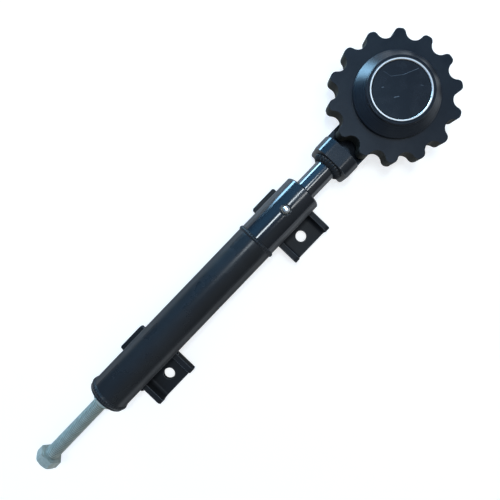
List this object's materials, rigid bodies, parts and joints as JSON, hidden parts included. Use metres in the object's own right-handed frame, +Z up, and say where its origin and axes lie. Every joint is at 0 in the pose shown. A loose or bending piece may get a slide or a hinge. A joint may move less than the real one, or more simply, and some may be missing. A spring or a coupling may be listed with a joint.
{
  "type": "spring-loaded chain tensioner",
  "caption": "Spring-loaded tensioner: a greased rod slides in a bracketed steel tube and carries an idler sprocket for a heavy roller chain.",
  "frame": {"origin": "midway between the centres of the bracket holes, on the underside of the bracket plates", "axes": "+X along the tube towards the sprocket, +Y from the bracket holes towards the tube, +Z up from the bracket plates"},
  "size_m": [0.6209, 0.1456, 0.0594],
  "materials": {
    "satin_paint": "satin black paint with a blue sheen",
    "gloss_paint": "glossy blue-black paint",
    "sprocket_paint": "satin blue-black paint over a machined face",
    "cap_paint": "glossy black paint with fine scratches",
    "zinc_plate": "dull grey zinc",
    "bright_steel": "bright turned steel",
    "inner_steel": "oiled machined steel",
    "bearing_steel": "ground bearing steel",
    "clip_steel": "black spring steel",
    "cage_brass": "pressed brass",
    "bronze": "bored bronze",
    "black_rubber": "matt black rubber"
  },
  "bodies": {
    "housing": {"outer_tube": "satin_paint", "end_plug": "satin_paint", "guide_sleeve": "gloss_paint", "inner_bush": "bronze", "outer_bush": "bronze", "rod_wiper": "black_rubber", "grease_nipple": "zinc_plate", "rear_bracket": "satin_paint", "front_bracket": "satin_paint"},
    "spring_pusher": {"rear_spring_seat": "inner_steel", "compression_spring": "clip_steel"},
    "bolt": {"adjusting_bolt": "zinc_plate"},
    "washer": {"lock_washer": "zinc_plate"},
    "nut": {"lock_nut": "zinc_plate"},
    "thrust": {"thrust_collar": "inner_steel"},
    "rod": {"push_rod": "gloss_paint", "rod_circlip": "clip_steel", "end_block": "gloss_paint", "stub_axle": "inner_steel", "axle_circlip": "clip_steel", "top_inner_race": "bearing_steel", "bottom_inner_race": "bearing_steel"},
    "idler": {"sprocket": "sprocket_paint", "bearing_sleeve": "bright_steel", "hub_circlip": "clip_steel", "hub_cap": "cap_paint", "rear_seal": "black_rubber", "top_outer_race": "bearing_steel", "bottom_outer_race": "bearing_steel", "top_shields": "black_rubber", "bottom_shields": "black_rubber"},
    "top_ball_set": {"top_balls": "bearing_steel", "top_cage": "cage_brass"},
    "bottom_ball_set": {"bottom_balls": "bearing_steel", "bottom_cage": "cage_brass"}
  },
  "joints": [
    {"name": "bolt_feed", "type": "slide", "parent": "housing", "child": "spring_pusher", "axis": [1, 0, 0], "range_m": [-0.01, 0.03], "deforming": ["compression_spring"]},
    {"name": "bolt_turn", "type": "hinge", "parent": "spring_pusher", "child": "bolt", "pos_m": [-0.1046, 0.0335, 0.02825], "axis": [1, 0, 0], "range_deg": [-1800, 5400]},
    {"name": "washer_slide", "type": "slide", "parent": "housing", "child": "washer", "axis": [1, 0, 0], "range_m": [-0.012, 0]},
    {"name": "nut_turn", "type": "hinge", "parent": "washer", "child": "nut", "pos_m": [-0.1666, 0.0335, 0.02825], "axis": [1, 0, 0], "range_deg": [-2160, 0]},
    {"name": "rod_slide", "type": "slide", "parent": "housing", "child": "thrust", "axis": [1, 0, 0], "range_m": [-0.03, 0], "stiffness_N_per_m": 53000, "springref_m": 0.01, "deforming": ["compression_spring"]},
    {"name": "rod_swivel", "type": "hinge", "parent": "thrust", "child": "rod", "pos_m": [0.0536, 0.0335, 0.02825], "axis": [1, 0, 0], "continuous": true},
    {"name": "idler_spin", "type": "hinge", "parent": "rod", "child": "idler", "pos_m": [0.2848, 0.0335, 0.03175], "axis": [0, 0, 1], "continuous": true},
    {"name": "top_balls_spin", "type": "hinge", "parent": "rod", "child": "top_ball_set", "pos_m": [0.2848, 0.0335, 0.04425], "axis": [0, 0, 1], "continuous": true},
    {"name": "bottom_balls_spin", "type": "hinge", "parent": "rod", "child": "bottom_ball_set", "pos_m": [0.2848, 0.0335, 0.03025], "axis": [0, 0, 1], "continuous": true}
  ],
  "couplings": [
    {"joint": "bolt_turn", "follows": "bolt_feed", "rad_per_m": 3141.6},
    {"joint": "nut_turn", "follows": "washer_slide", "rad_per_m": 3141.6},
    {"joint": "top_balls_spin", "follows": "idler_spin", "ratio": 0.581},
    {"joint": "bottom_balls_spin", "follows": "idler_spin", "ratio": 0.581}
  ]
}
